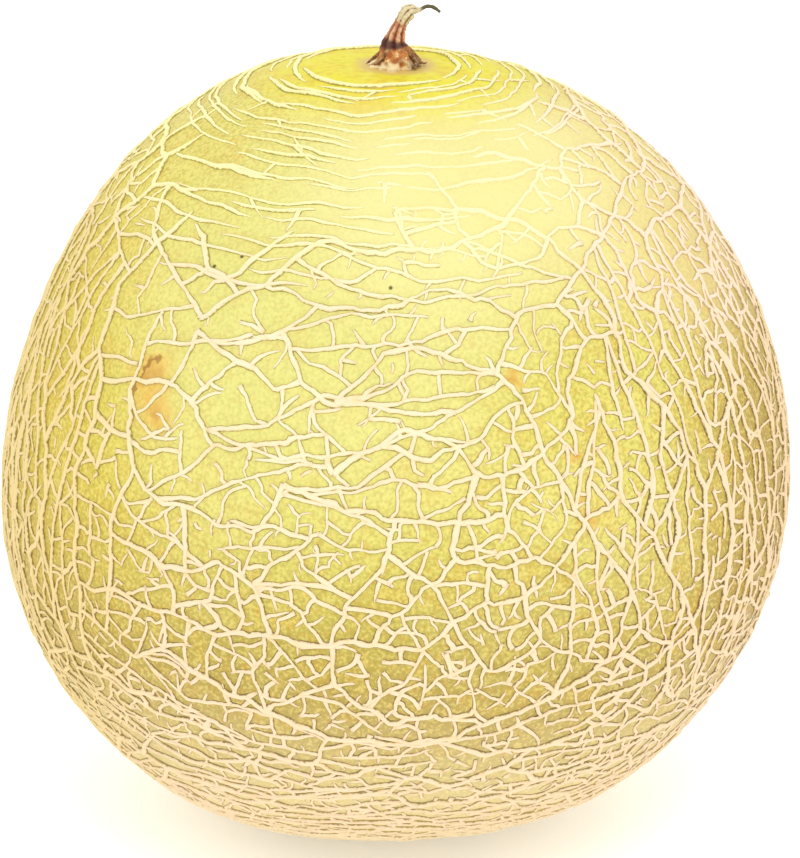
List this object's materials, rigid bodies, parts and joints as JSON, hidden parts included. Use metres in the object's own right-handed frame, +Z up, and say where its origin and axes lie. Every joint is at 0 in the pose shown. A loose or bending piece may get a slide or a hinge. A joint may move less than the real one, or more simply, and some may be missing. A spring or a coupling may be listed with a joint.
{
  "type": "netted cantaloupe melon",
  "caption": "Whole round netted muskmelon with yellow rind, raised cream cork net, dried curled stem and a small flat spot it rests on.",
  "frame": {"origin": "on the flat spot that the melon rests on, under the middle of the fruit's width and depth", "axes": "+Z up along the fruit's axis from the flat spot to the stem, -Y towards the front that the picture shows, +X to the right seen from the front"},
  "size_m": [0.1668, 0.1661, 0.1739],
  "materials": {
    "rind": "waxy yellow melon rind under a raised net of matt cream cork",
    "stem": "dry woody brown stem, cream corky foot and a dark withered tail"
  },
  "bodies": {
    "root": {"fruit": "rind", "stem": "stem"}
  },
  "joints": []
}
